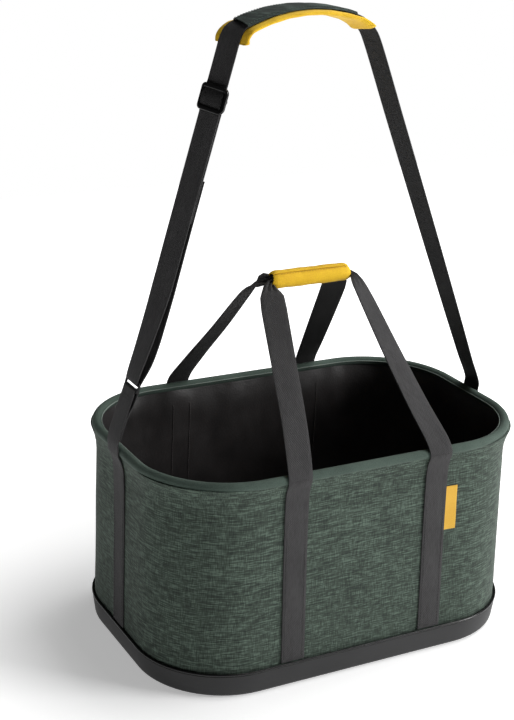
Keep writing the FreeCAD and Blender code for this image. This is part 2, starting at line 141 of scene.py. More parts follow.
def bump(tree, shader, height, distance, strength=1.0):
    node = addNode(tree, "Bump", {"Strength": strength, "Distance": distance}, Height=height)
    tree.links.new(node.outputs[0], shader.inputs["Normal"])


# two-tone polyester in a linen weave: weft and warp are noise stretched along the thread;
# the real threads are half a millimetre, drawn at 1.2 so that they show
def heatherCloth(name, dark, middle, light, threadMm=1.2, slub=0.7):
    material, tree, shader = newMaterial(
        name, Roughness=0.88, IOR=1.5, Sheen_Weight=0.03, Sheen_Roughness=0.5)
    place = addNode(tree, "TexCoord").outputs["Object"]
    fine, long = 1 / (threadMm * mm), 1 / (12 * threadMm * mm)
    weft = noise(tree, scaled(tree, place, (long, long, fine)), 1.0, 0.5)
    warp = noise(tree, scaled(tree, place, (fine, fine, 1.6 * long)), 1.0, 0.5)
    weftShare = 0.62
    both = mathNode(tree, "MULTIPLY_ADD", weft, weftShare, mathNode(tree, "MULTIPLY", warp, 1 - weftShare))
    # the dye lot varies a little, in patches some 70 mm wide
    patches, patchDepth = noise(tree, scaled(tree, place, (14, 14, 20)), 2.0), 0.08
    mixed = mathNode(tree, "MULTIPLY_ADD", patches, patchDepth,
                     mathNode(tree, "SUBTRACT", both, patchDepth / 2))
    colour = ramp(tree, mixed, [(0.35, dark), (0.5, middle), (0.65, light)])
    # thicker yarns here and there, 20 to 40 mm long
    streak = noise(tree, scaled(tree, place, (28, 28, 620)), 1.0, 0.5)
    limits = {"From Min": 0.66, "From Max": 0.76, "To Max": slub}
    mask = addNode(tree, "MapRange", limits, Value=streak).outputs[0]
    colour = addNode(tree, "Mix", {"data_type": "RGBA", 7: rgb(light)}, n0=mask, n6=colour).outputs[2]
    tree.links.new(colour, shader.inputs["Base Color"])
    bump(tree, shader, both, 0.6 * mm, 0.6)
    return material


# woven polypropylene webbing: crossed ribs and columns, drawn at 2.2 mm so that they show,
# with the long faint streaks of its yarns
def webbingCloth(name, colour, dark):
    ribMm, columnMm = 2.2, 2.4
    material, tree, shader = newMaterial(
        name, Roughness=0.82, IOR=1.49, Sheen_Weight=0.03, Sheen_Roughness=0.4)
    place = addNode(tree, "TexCoord").outputs["UV"]
    apart = addNode(tree, "SeparateXYZ", {}, Vector=place)
    along, across = apart.outputs[0], apart.outputs[1]
    ribs = mathNode(tree, "SINE", mathNode(tree, "MULTIPLY", along, 2 * math.pi / (ribMm * mm)))
    columns = mathNode(tree, "SINE", mathNode(tree, "MULTIPLY", across, 2 * math.pi / (columnMm * mm)))
    weave = mathNode(tree, "MULTIPLY", ribs, columns)
    grain = noise(tree, scaled(tree, place, (90, 900, 1)), 3.0, 0.6)
    wear = noise(tree, scaled(tree, place, (18, 60, 1)), 2.0)
    rubbed = mathNode(tree, "MULTIPLY_ADD", wear, 0.5, grain)
    shade = mathNode(tree, "MULTIPLY_ADD", weave, 0.10, rubbed)
    colourMix = ramp(tree, mathNode(tree, "MULTIPLY", shade, 0.66), [(0.34, dark), (0.62, colour)])
    tree.links.new(colourMix, shader.inputs["Base Color"])
    bump(tree, shader, mathNode(tree, "MULTIPLY_ADD", grain, 0.8, weave), 0.35 * mm, 0.8)
    return material


# plain weave: small even threads, faint lighter and darker stretches, and creases where asked for
def plainCloth(name, colour, light, threadMm=1.2, rough=0.85, sheen=0.03, puff=0.5, creaseMm=0):
    material, tree, shader = newMaterial(
        name, Roughness=rough, IOR=1.5, Sheen_Weight=sheen, Sheen_Roughness=0.5)
    place = addNode(tree, "TexCoord").outputs["Object"]
    threads = noise(tree, scaled(tree, place, (1 / (threadMm * mm),) * 3), 2.0, 0.6)
    patches = noise(tree, scaled(tree, place, (30, 30, 30)), 2.0)
    both = mathNode(tree, "MULTIPLY_ADD", threads, 0.5, mathNode(tree, "MULTIPLY", patches, 0.5))
    tree.links.new(ramp(tree, both, [(0.36, colour), (0.64, light)]), shader.inputs["Base Color"])
    height = mathNode(tree, "MULTIPLY", threads, threadMm * puff * mm)
    if creaseMm:
        # soft folds some 80 mm apart, longer up and down
        folds = noise(tree, scaled(tree, place, (13, 13, 8)), 2.0, 0.45)
        height = mathNode(tree, "MULTIPLY_ADD", folds, creaseMm * mm, height)
    bump(tree, shader, height, 1.0, 0.6)
    return material


# injection-moulded polypropylene or acetal with a fine spark-eroded grain
def mouldedPlastic(name, colour, light, rough, grainMm=0.9, depth=0.05):
    material, tree, shader = newMaterial(name, IOR=1.46)
    place = addNode(tree, "TexCoord").outputs["Object"]
    grain = noise(tree, scaled(tree, place, (1 / (grainMm * mm),) * 3), 2.0, 0.55)
    smear = noise(tree, scaled(tree, place, (14, 14, 30)), 3.0)
    tree.links.new(ramp(tree, smear, [(0.35, colour), (0.7, light)]), shader.inputs["Base Color"])
    low, high = rough - 0.06, rough + 0.08
    worn = addNode(tree, "MapRange", {"To Min": low, "To Max": high}, Value=smear).outputs[0]
    tree.links.new(worn, shader.inputs["Roughness"])
    bump(tree, shader, grain, depth * mm, 0.7)
    return material


# melange yarn, woven: matt green that breaks up into short pale and dark threads
heather = heatherCloth("heatherPolyesterWoven", "#1A261F", "#333F36", "#55665A")
padCloth = heatherCloth("padTopPolyesterWoven", "#151F1B", "#25302B", "#42504A", 1.5, 0.3)
# flat tape over the hoop: an even, quiet green
bindingCloth = plainCloth("bindingTapeWoven", "#33423A", "#46564D", 1.3)
# coated on the face, so a dull gloss runs along its creases
liningCloth = plainCloth("liningPolyesterCoated", "#211F1F", "#2E2B2B", 2.0, rough=0.42, sheen=0.0,
                         puff=0.2, creaseMm=16)
# heavy black webbing; its underside is a darker copy of it, painted shade
webbing = webbingCloth("webbingPolypropyleneWoven", "#3B3A3B", "#262526")
webbingPaintedShade = webbingCloth("webbingPolypropylenePaintedShade", "#1A191A", "#0E0E0E")
# brushed knit over foam: soft, with a short nap that catches the light at its edges
yellowCloth = plainCloth("paddingPolyesterBrushed", "#DFAE10", "#F0C516", 1.6, rough=0.8, sheen=0.08,
                         puff=0.3)
# tight satin, a little smoother than the pad
labelCloth = plainCloth("labelSatinWoven", "#D29F22", "#DFAF34", 0.9, rough=0.6)
# moulded with a fine grain: an even, half matt black
trayPlastic = mouldedPlastic("trayPolypropyleneMoulded", "#1F1F20", "#29292A", 0.55)
# polished mould: deep black with small sharp highlights
buckleAcetal = mouldedPlastic("buckleAcetalMoulded", "#050506", "#0C0C0D", 0.28, 0.7, 0.02)
# extruded cord cover, the shiniest thing on the tray
pipingVinyl = mouldedPlastic("pipingVinylExtruded", "#0A0A0B", "#151516", 0.25)
# powder paint on wire: smooth satin black
ringSteel = mouldedPlastic("ringSteelPowderCoated", "#0F0F10", "#1C1C1D", 0.35, 0.6, 0.02)
# spun nylon in four shades
darkThread = plainCloth("threadNylonDark", "#242222", "#3C3939", 0.6)
seamThread = plainCloth("threadNylonGrey", "#3A3737", "#565151", 0.6)
greenThread = plainCloth("threadNylonGreen", "#3A4840", "#55665C", 0.6)
yellowThread = plainCloth("threadNylonYellow", "#B98B12", "#D9A91F", 0.6)
# a thin pale line along the rim's inner edge: a painted highlight
paleHighlightCord = plainCloth("edgeCordPaintedHighlight", "#5E6A63", "#87928B", 0.8)
# foamed sheet with closed skin: flat and dark
foamSheet = plainCloth("foamPolyethyleneClosedCell", "#1C1C1C", "#2A2A2A", 0.8, rough=0.9)
print("materials ready")


def clearSelection():
    for item in bpy.context.selected_objects:
        item.select_set(False)


def activate(obj):
    clearSelection()
    obj.select_set(True)
    bpy.context.view_layer.objects.active = obj


# turns all faces the same way
def evenNormals(obj):
    activate(obj)
    bpy.ops.object.mode_set(mode="EDIT")
    bpy.ops.mesh.select_all(action="SELECT")
    bpy.ops.mesh.normals_make_consistent(inside=False)
    bpy.ops.object.mode_set(mode="OBJECT")


# names the primitive that was just added and gives it its material
def newPiece(name, material):
    obj = bpy.context.object
    obj.name = obj.data.name = name
    obj.data.materials.clear()
    obj.data.materials.append(material)
    return obj


def applyModifier(obj, kind, **settings):
    activate(obj)
    modifier = obj.modifiers.new(kind.lower(), kind)
    for key, value in settings.items():
        setattr(modifier, key, value)
    bpy.ops.object.modifier_apply(modifier=modifier.name)


def smooth(obj, angle=35):
    activate(obj)
    bpy.ops.object.shade_smooth_by_angle(angle=math.radians(angle))


# puts the piece's place into its mesh
def settle(obj):
    activate(obj)
    bpy.ops.object.transform_apply(location=True, rotation=True, scale=True)


# leaves edit mode's selection on the edges that pass the test, edges given as two corners
def pickEdges(obj, test):
    bpy.ops.mesh.select_mode(type="EDGE")
    bpy.ops.mesh.select_all(action="DESELECT")
    bpy.ops.object.mode_set(mode="OBJECT")
    points = obj.data.vertices
    for edge in obj.data.edges:
        edge.select = test(points[edge.vertices[0]].co, points[edge.vertices[1]].co)
    bpy.ops.object.mode_set(mode="EDIT")


# leaves edit mode's selection on the faces that pass the test, given centre and normal
def pickFaces(obj, test):
    bpy.ops.mesh.select_mode(type="FACE")
    bpy.ops.mesh.select_all(action="DESELECT")
    bpy.ops.object.mode_set(mode="OBJECT")
    for face in obj.data.polygons:
        face.select = test(face.center, face.normal)
    bpy.ops.object.mode_set(mode="EDIT")


def finish(obj, body, slot, *nodes):
    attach(obj, body)
    if nodes:
        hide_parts(*nodes)
    return obj


# sizes that several pieces share, in metres; boxes come from the frame
trayLow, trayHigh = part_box("base_tray")
wallLow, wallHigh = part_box("wall_fabric")
rimLow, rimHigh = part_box("rim_binding")
rim = {"radius": (rimHigh.z - rimLow.z) / 2, "height": (rimHigh.z + rimLow.z) / 2, "corner": 116 * mm,
       "length": rimHigh.x - rimLow.x, "width": rimHigh.y - rimLow.y}
# the wall leans in from foot to top, and its cloth leans out again under the rim
wall = {"footLength": 514 * mm, "footWidth": 346 * mm, "footCorner": 111 * mm, "foot": wallLow.z,
        "topLength": 511 * mm, "topWidth": 328 * mm, "top": wallHigh.z, "thickness": 4.1 * mm,
        "flareFoot": 238 * mm, "flare": 5.5 * mm}
webbingSize = {"thickness": 1.6 * mm, "rowStep": 7 * mm, "columns": 6}
strapWidth = 32  # mm, as a webbing's stops give it


def wallHalf(kind, z):
    share = (z - wall["foot"]) / (wall["top"] - wall["foot"])
    return (wall["foot" + kind] * (1 - share) + wall["top" + kind] * share) / 2


# upright block with round corners, left in edit mode
def addPrism(name, material, length, width, corner, low, high, segments=14):
    clearSelection()
    bpy.ops.mesh.primitive_cube_add(
        size=1, location=(0, 0, (low + high) / 2), scale=(length, width, high - low))
    obj = newPiece(name, material)
    settle(obj)
    bpy.ops.object.mode_set(mode="EDIT")
    pickEdges(obj, lambda a, b: abs(a.z - b.z) > (high - low) / 2)
    bpy.ops.mesh.bevel(offset=corner, segments=segments, profile=0.5, affect="EDGES")
    return obj


# resizes the loop of corners at height z about the middle
def scaleLevel(obj, z, value):
    bpy.ops.mesh.select_mode(type="VERT")
    bpy.ops.mesh.select_all(action="DESELECT")
    bpy.ops.object.mode_set(mode="OBJECT")
    for point in obj.data.vertices:
        point.select = abs(point.co.z - z) < 0.05 * mm
    bpy.ops.object.mode_set(mode="EDIT")
    bpy.ops.transform.resize(value=value, center_override=(0, 0, z))


# taper is the foot's size over the top's, draft the floor's inside size over the lip's
tray = {"corner": 115 * mm, "lip": 2.2 * mm, "floor": 3 * mm, "footRound": 6 * mm, "lipRound": 0.8 * mm,
        "taper": 0.985, "draft": (0.985, 0.98, 1)}


def makeTray():
    length, width, high = trayHigh.x - trayLow.x, trayHigh.y - trayLow.y, trayHigh.z
    obj = addPrism("moulded_tray", trayPlastic, length, width, tray["corner"], 0, high, 18)
    scaleLevel(obj, 0, (tray["taper"], tray["taper"], 1))
    pickEdges(obj, lambda a, b: max(a.z, b.z) < mm)
    bpy.ops.mesh.bevel(offset=tray["footRound"], segments=5, profile=0.5, affect="EDGES")
    pickFaces(obj, lambda centre, normal: normal.z > 0.9 and centre.z > high - mm)
    bpy.ops.mesh.inset(thickness=tray["lip"], depth=0)
    bpy.ops.mesh.extrude_region_move(TRANSFORM_OT_translate={"value": (0, 0, tray["floor"] - high)})
    bpy.ops.transform.resize(value=tray["draft"], center_override=(0, 0, 0))
    pickEdges(obj, lambda a, b: min(a.z, b.z) > high - 0.1 * mm)
    bpy.ops.mesh.bevel(offset=tray["lipRound"], segments=3, profile=0.5, affect="EDGES")
    bpy.ops.object.mode_set(mode="OBJECT")
    smooth(obj, 40)
    return finish(obj, "basket", "tray", "base_tray")


# one layer of the wall, tapered, with the soft waviness of sewn cloth
def makeShell(name, material, inset, high, thickness, puff, waveSize):
    low = wall["foot"]
    foot, top = wallHalf("Length", low) - inset, wallHalf("Length", high) - inset
    footWide, topWide = wallHalf("Width", low) - inset, wallHalf("Width", high) - inset
    obj = addPrism(name, material, 2 * foot, 2 * footWide, wall["footCorner"] - inset, low, high, 20)
    scaleLevel(obj, high, (top / foot, topWide / footWide, 1))
    pickFaces(obj, lambda centre, normal: abs(normal.z) > 0.9)
    bpy.ops.mesh.delete(type="ONLY_FACE")
    pickEdges(obj, lambda a, b: abs(a.z - b.z) > 0.1)
    bpy.ops.mesh.subdivide(number_cuts=22)
    pickEdges(obj, lambda a, b: (a - b).length > 0.06)
    bpy.ops.mesh.subdivide(number_cuts=18)
    bpy.ops.object.mode_set(mode="OBJECT")
    # the cloth leans out under the rim
    for point in obj.data.vertices:
        share = max(0.0, point.co.z - wall["flareFoot"]) / (wall["top"] - wall["flareFoot"])
        point.co.x *= 1 + wall["flare"] / foot * share ** 2
        point.co.y *= 1 + wall["flare"] / footWide * share ** 2
    clouds = bpy.data.textures.new(name + "_waves", "CLOUDS")
    clouds.noise_scale = waveSize
    applyModifier(obj, "DISPLACE", texture=clouds, strength=puff, mid_level=0.5, texture_coords="LOCAL")
    evenNormals(obj)
    applyModifier(obj, "SOLIDIFY", thickness=thickness, offset=-1)
    smooth(obj, 50)
    return obj


# closed round tube along a rounded rectangle, from a plane's outline
def outlineCurve(name, length, width, corner, z, radius, material, resolution=6):
    clearSelection()
    bpy.ops.mesh.primitive_plane_add(size=1, location=(0, 0, z))
    obj = newPiece(name, material)
    obj.scale = (length, width, 1)
    settle(obj)
    bpy.ops.object.mode_set(mode="EDIT")
    bpy.ops.mesh.select_all(action="SELECT")
    bpy.ops.mesh.bevel(offset=corner, segments=24, affect="VERTICES")
    bpy.ops.mesh.select_all(action="SELECT")
    bpy.ops.mesh.delete(type="ONLY_FACE")
    pickEdges(obj, lambda a, b: (a - b).length > 0.05)
    bpy.ops.mesh.subdivide(number_cuts=16)
    bpy.ops.object.mode_set(mode="OBJECT")
    activate(obj)
    bpy.ops.object.convert(target="CURVE")
    curve = bpy.context.object
    curve.data.bevel_depth = radius
    curve.data.bevel_resolution = resolution
    bpy.ops.object.convert(target="MESH")
    obj = bpy.context.object
    obj.name = obj.data.name = name
    obj.data.materials.clear()
    obj.data.materials.append(material)
    smooth(obj, 60)
    return obj


# true if the closed mesh's faces look inwards
def insideOut(obj):
    cage = bmesh.new()
    cage.from_mesh(obj.data)
    volume = cage.calc_volume(signed=True)
    cage.free()
    return volume < 0


def faceOutwards(obj):
    if insideOut(obj):
        activate(obj)
        bpy.ops.object.mode_set(mode="EDIT")
        bpy.ops.mesh.select_all(action="SELECT")
        bpy.ops.mesh.flip_normals()
        bpy.ops.object.mode_set(mode="OBJECT")
    return obj


makeTray()
outer = makeShell("wall_cloth", heather, 0, rim["height"] - 3 * mm, wall["thickness"], 1.3 * mm, 75 * mm)
finish(outer, "basket", "melange_fabric", "wall_fabric", "wall_board")
# the lining hangs a little inside the wall, so that its waves stay clear of it
lining = {"inset": wall["thickness"] + 3 * mm, "thickness": 0.6 * mm, "waves": 4.6 * mm, "waveSize": 60 * mm,
          "middle": 150 * mm, "corner": wall["footCorner"] - 7 * mm}
inner = makeShell("wall_lining_cloth", liningCloth, lining["inset"], rim["height"], lining["thickness"],
                  lining["waves"], lining["waveSize"])
finish(inner, "basket", "lining", "wall_lining")

rimTube = outlineCurve("rim_bead", rim["length"] - 2 * rim["radius"], rim["width"] - 2 * rim["radius"],
                       rim["corner"], rim["height"], rim["radius"], bindingCloth, 8)
finish(faceOutwards(rimTube), "basket", "rim_binding", "rim_binding", "rim_wire")
# pale cord inside the rim bead: a painted highlight along its inner edge
edge = outlineCurve("rim_painted_highlight_cord", rim["length"] - 4 * rim["radius"] - 1 * mm,
                    rim["width"] - 4 * rim["radius"] - 1 * mm, rim["corner"] - rim["radius"],
                    rim["height"] + 1.5 * mm, 0.7 * mm, paleHighlightCord, 2)
finish(faceOutwards(edge), "basket", "rim_binding")
print("tray, wall and rim ready")


# centripetal spline through start and end; share runs from 0 to 1
def between(before, start, end, after, share):
    gaps = [max((b - a).length, 1e-6) ** 0.5 for a, b in ((before, start), (start, end), (end, after))]
    t1 = gaps[0]
    t2 = t1 + gaps[1]
    t3 = t2 + gaps[2]
    t = t1 + (t2 - t1) * share
    a1 = before * ((t1 - t) / t1) + start * (t / t1)
    a2 = start * ((t2 - t) / (t2 - t1)) + end * ((t - t1) / (t2 - t1))
    a3 = end * ((t3 - t) / (t3 - t2)) + after * ((t - t2) / (t3 - t2))
    b1 = a1 * ((t2 - t) / t2) + a2 * (t / t2)
    b2 = a2 * ((t3 - t) / (t3 - t1)) + a3 * ((t - t1) / (t3 - t1))
    return b1 * ((t2 - t) / (t2 - t1)) + b2 * ((t - t1) / (t2 - t1))


# stops are (point in mm, across, width in mm); returns the same, closer together and in metres
def route(stops):
    points = [Vector(stop[0]) * mm for stop in stops]
    rows = []
    for index in range(len(points) - 1):
        start, end = points[index], points[index + 1]
        before = points[index - 1] if index else start * 2 - end
        after = points[index + 2] if index + 2 < len(points) else end * 2 - start
        count = max(1, round((end - start).length / webbingSize["rowStep"]))
        for step in range(count):
            share = step / count
            across = Vector(stops[index][1]).lerp(Vector(stops[index + 1][1]), share)
            width = stops[index][2] + (stops[index + 1][2] - stops[index][2]) * share
            rows.append((between(before, start, end, after, share), across, width * mm))
    rows.append((points[-1], Vector(stops[-1][1]), stops[-1][2] * mm))
    return rows


# flat webbing along a route; where it narrows, its width is taken up in pleats
def layWebbing(name, stops, material, thickness=webbingSize["thickness"], pleat=0.0):
    rows = route(stops)
    columns = webbingSize["columns"]
    clearSelection()
    bpy.ops.mesh.primitive_grid_add(x_subdivisions=len(rows) - 1, y_subdivisions=columns, size=1)
    obj = newPiece(name, material)
    full = max(width for _, _, width in rows)
    lengths = [0.0]
    for (a, _, _), (b, _, _) in zip(rows, rows[1:]):
        lengths.append(lengths[-1] + (b - a).length)
    places = {}
    for point in obj.data.vertices:
        row, column = round((point.co.x + 0.5) * (len(rows) - 1)), round((point.co.y + 0.5) * columns)
        here, across, width = rows[row]
        tangent = (rows[min(row + 1, len(rows) - 1)][0] - rows[max(row - 1, 0)][0]).normalized()
        across = (across - tangent * across.dot(tangent)).normalized()
        side = column / columns - 0.5
        fold = math.cos(side * 6 * math.pi) * pleat * (1 - width / full)
        places[point.index] = (lengths[row], side * full)
        point.co = here + across * (side * width) + tangent.cross(across) * fold
    layer = obj.data.uv_layers.active or obj.data.uv_layers.new(name="weave")
    for loop in obj.data.loops:
        layer.data[loop.index].uv = places[loop.vertex_index]
    # the underside gets the darker copy of the weave: painted shade
    obj.data.materials.append(webbingPaintedShade)
    applyModifier(obj, "SOLIDIFY", thickness=thickness, offset=0, material_offset=1)
    faceOutwards(obj)
    applyModifier(obj, "BEVEL", width=0.35 * mm, segments=2, limit_method="ANGLE")
    smooth(obj, 50)
    return obj


# wall routes are (distance out, height) in mm: up the cloth, out over the rim bead and on
def wallRoute(kind):
    foot, flare, lift = 34, 255, 1.0
    rimOut = {"Width": rim["width"], "Length": rim["length"]}[kind] / 2 / mm
    return [(wallHalf(kind, foot * mm) / mm + lift, foot), (wallHalf(kind, 0.11) / mm + lift, 110),
            (wallHalf(kind, 0.19) / mm + lift, 190), (wallHalf(kind, flare * mm) / mm + lift + 2.2, flare),
            (rimOut - 2, 265), (rimOut + 1.1, 272), (rimOut + 1.2, 278)]


handles = {"place": 99.4, "pleat": 2.2 * mm, "bundleOut": 4.6, "bundleHeight": 467, "bundleWidth": 8.4,
           "bundleThickness": 3 * mm, "bundleStops": (-55, -20, 20, 55)}
yAxis = (0, 1, 0)

# each leg's stops above the rim, in mm and degrees:
# x, distance from the middle plane, height, width, turn about the vertical, rise of its width
legRoutes = {
    ("front", -1): [(98, 167.5, 289, 32, 0, 0), (88, 134, 327, 32, 4, 0), (76, 80, 386, 32, 10, 0),
                    (66, 32, 440, 32, 24, 0), (63, 20, 453, 30, 22, 0), (60.5, 10, 462, 17, 12, 0),
                    (57, 5.5, 466, 9.5, 0, 0), (48, 4.6, 467, 9, 0, 0)],
    ("front", 1): [(98, 167.5, 289, 32, 0, 0), (88, 134, 327, 32, 9, 0), (76, 80, 386, 32, 20, 0),
                   (66, 32, 440, 32, 32, 0), (63, 20, 454, 27, 30, 0), (60.5, 10, 464, 15, 16, 0),
                   (57, 5.5, 467, 9.5, 0, 0), (48, 4.6, 467, 9, 0, 0)],
    ("back", -1): [(99, 167.5, 289, 32, 0, 0), (94, 134, 327, 32, 8, 0), (84, 80, 386, 32, 16, 0),
                   (75, 36, 438, 31, 18, 0.1), (71, 20, 457, 28, 12, 0.3), (66, 11, 465, 21, 5, 0.8),
                   (60, 6.5, 468, 15, 0, 2), (50, 5, 468, 9.5, 0, 6), (44, 5, 468, 9, 0, 9)],
    ("back", 1): [(98, 167.5, 289, 32, 0, 0), (88, 134, 327, 32, 9, 0), (71, 80, 386, 32, 20, 0),
                  (56, 34, 436, 32, 27, 0), (50, 20, 450, 31, 25, 0), (47, 14.8, 458, 28, 15, 0),
                  (45, 13.9, 466, 24, 4, 0), (44, 12.5, 474, 18, 0, 0)],
}


def makeHandle(row):
    out = -1 if row == "front" else 1
    for side, word in ((-1, "left"), (1, "right")):
        stops = [((side * handles["place"], out * reach, height), (out, 0, 0), strapWidth)
                 for reach, height in wallRoute("Width")]
        for x, reach, height, width, turn, rise in legRoutes[(row, side)]:
            turn = math.radians(-turn * side * out)
            across = (out * math.cos(turn), out * math.sin(turn), out * rise)
            stops.append(((side * x, out * reach, height), across, width))
        strap = layWebbing(f"{row}_webbing_{word}", stops, webbing, pleat=handles["pleat"])
        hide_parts(f"{row}_strap_{word}", f"{row}_handle_webbing")
        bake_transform(strap)
    # both legs' webbing lies folded inside the grip
    stops = [((x, out * handles["bundleOut"], handles["bundleHeight"]), (0, 0, 1), handles["bundleWidth"])
             for x in handles["bundleStops"]]
    bundle = layWebbing(f"{row}_bundle", stops, webbing, handles["bundleThickness"])
    finish(bundle, row + "_handle", "webbing")


makeHandle("front")
makeHandle("back")

# mm; the seam and the gap beside it are in degrees round the grip
grip = {"length": 112, "radius": 12.5, "height": 468, "seam": 123, "under": 270, "gap": 1.6, "endDraw": 2.6,
        "seamDraw": 0.5, "cover": 2.4, "edge": 0.9, "slant": 1.8}


# padded wrap: a crowned shell round the webbing, drawn in at both ends and at its seams
def makeGripHalf(name, start, end, body, slotName, *nodes):
    rows, columns = 34, 22
    clearSelection()
    bpy.ops.mesh.primitive_grid_add(x_subdivisions=rows, y_subdivisions=columns, size=1)
    obj = newPiece(name, yellowCloth)
    for point in obj.data.vertices:
        along, around = point.co.x * 2, point.co.y + 0.5
        nearEnd = max(0.0, abs(along) - 0.86) / 0.14
        nearSeam = max(0.0, 1 - min(around, 1 - around) / 0.06)
        wave = 0.22 * math.sin(along * 9 + around * 5) + 0.12 * math.sin(along * 23 - around * 7)
        drawn = grip["endDraw"] * nearEnd ** 2 + grip["seamDraw"] * nearSeam ** 2
        radius = grip["radius"] - grip["edge"] - drawn + wave
        angle = math.radians(start + (end - start) * around)
        slant = -math.copysign(grip["slant"] * abs(along) ** 6, along) * math.sin(angle)
        x = along * grip["length"] / 2 + slant
        point.co = Vector((x, radius * math.cos(angle), grip["height"] + radius * math.sin(angle))) * mm
    evenNormals(obj)
    middle = obj.data.polygons[len(obj.data.polygons) // 2]
    outwards = middle.normal.dot(middle.center - Vector((middle.center.x, 0, grip["height"] * mm))) > 0
    applyModifier(obj, "SOLIDIFY", thickness=grip["cover"] * mm, offset=-1 if outwards else 1)
    faceOutwards(obj)
    applyModifier(obj, "BEVEL", width=grip["edge"] * mm, segments=3, limit_method="ANGLE",
                  angle_limit=math.radians(50))
    applyModifier(obj, "SUBSURF", levels=1, render_levels=1)
    smooth(obj, 60)
    return finish(obj, body, slotName, *nodes)


seam, under, gap = grip["seam"], grip["under"], grip["gap"]
makeGripHalf("front_grip_pad", seam + gap, under - gap, "front_handle", "yellow_cover",
             "front_grip_cover", "front_grip_foam")
makeGripHalf("back_grip_pad", under - 360 + gap, seam - gap, "back_handle", "yellow_cover",
             "back_grip_cover", "back_grip_foam")
print("handles and grip ready")

# three arcs in the XZ plane, in mm; an angle is the lean of the strap's outward normal from +Z
# towards +X, and a turn is the width's turn about the vertical, both in degrees
arch = {"middle": -24.3, "top": 799.5, "radius": 208, "leftBend": 25, "rightBend": 57,
        "leftTurn": 22, "rightTurn": 13, "ends": (-74, -23, 17, 68)}
yDirection = Vector(yAxis)


def lean(angle):
    return Vector((math.sin(math.radians(angle)), 0, math.cos(math.radians(angle))))


def turnedAcross(degrees):
    return Vector((-math.sin(math.radians(degrees)), math.cos(math.radians(degrees)), 0))


# point in mm on the strap's middle line, lifted along its outward normal
def archPoint(angle, lift=0.0):
    left, right = arch["ends"][1:3]
    joint = min(max(angle, left), right)
    bend = arch["radius"] if joint == angle else arch["leftBend"] if angle < left else arch["rightBend"]
    middle = Vector((arch["middle"], 0, arch["top"] - arch["radius"]))
    return middle + lean(joint) * (arch["radius"] - bend) + lean(angle) * (bend + lift)


def archAcross(angle):
    first, last = arch["ends"][0], arch["ends"][-1]
    share = min(max((angle - first) / (last - first), 0), 1)
    across = turnedAcross(arch["leftTurn"] * (1 - share) + arch["rightTurn"] * share)
    along = lean(angle + 90)
    return (across - along * across.dot(along)).normalized()


slide = [joint for joint in frame["joints"] if joint["name"] == "slider_travel"][0]
legAxis = Vector(slide["axis"]).normalized()
ringLow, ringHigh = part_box("anchor_ring")
ringMiddle = (ringLow + ringHigh) / 2 / mm
ringLeg = (archPoint(arch["ends"][0]) - ringMiddle).normalized()
ringOut = ringLeg.cross(yDirection)
# mm: from the ring's middle to a bar, the webbing's turn round a bar, and how far the leg bows out;
# the left leg's width turns fully over its first stretch
loop = {"bar": 5.1, "wrap": 2.6, "bow": 6.5, "turnLength": 120}
upperBar, lowerBar = ringMiddle + ringLeg * loop["bar"], ringMiddle - ringLeg * loop["bar"]
legBase = upperBar + ringOut * (loop["wrap"] - loop["bow"])


def legPoint(distance, depth):
    return legBase - ringOut * depth + legAxis * distance


def legAcross(distance):
    return turnedAcross(arch["leftTurn"] * min(max(distance / loop["turnLength"], 0), 1))


# turn of webbing round a ring bar, from first to last degrees off the ring's outward normal
def loopStops(bar, first, last, count=9):
    stops = []
    for index in range(count):
        angle = math.radians(first + (last - first) * index / (count - 1))
        away = ringOut * math.cos(angle) + ringLeg * math.sin(angle)
        stops.append((bar + away * loop["wrap"], yAxis, strapWidth))
    return stops


# distance up the left leg from the ring, and depth behind its outer face
returnRun = ((255, 4.0), (200, 4.2), (150, 4.6), (115, 5.2), (80, 6.0), (50, 6.4), (24, 4.6), (9, 1.0))
outerRun = ((14, -6.0), (30, -4.6), (60, -2.6), (90, -1), (120, 0), (180, 0), (240, 0), (300, 0), (350, 0),
            (400, 0))
archRun = (-74, -57, -40, -23, -13, -3, 7, 17, 30, 43, 56, 68)
# share of the right leg's length, and of its turn that is left there
footRun = ((0.2, 1), (0.4, 0.95), (0.6, 0.8), (0.8, 0.5), (0.92, 0.2), (1, 0))
rightFoot = (266.6, 0, 288)


# one length of webbing: down the inside as the return layer, round the ring, up, over the pad and down
def makeMainStrap():
    stops = [(legPoint(d, depth), legAcross(d), strapWidth) for d, depth in returnRun]
    stops += loopStops(upperBar, 180, 360)
    stops += [(legPoint(d, depth), legAcross(d), strapWidth) for d, depth in outerRun]
    stops += [(archPoint(angle), archAcross(angle), strapWidth) for angle in archRun]
    top, foot = archPoint(arch["ends"][-1]), Vector(rightFoot)
    for share, twist in footRun:
        stops.append((top.lerp(foot, share), turnedAcross(arch["rightTurn"] * twist), strapWidth))
    stops += [((reach, 0, height), yAxis, strapWidth) for reach, height in reversed(wallRoute("Length"))]
    strap = layWebbing("main_strap", stops, webbing)
    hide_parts("strap_leg_left", "strap_wrap", "strap_return", "strap_over_pad", "strap_leg_right",
                "end_strap_right")
    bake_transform(strap)


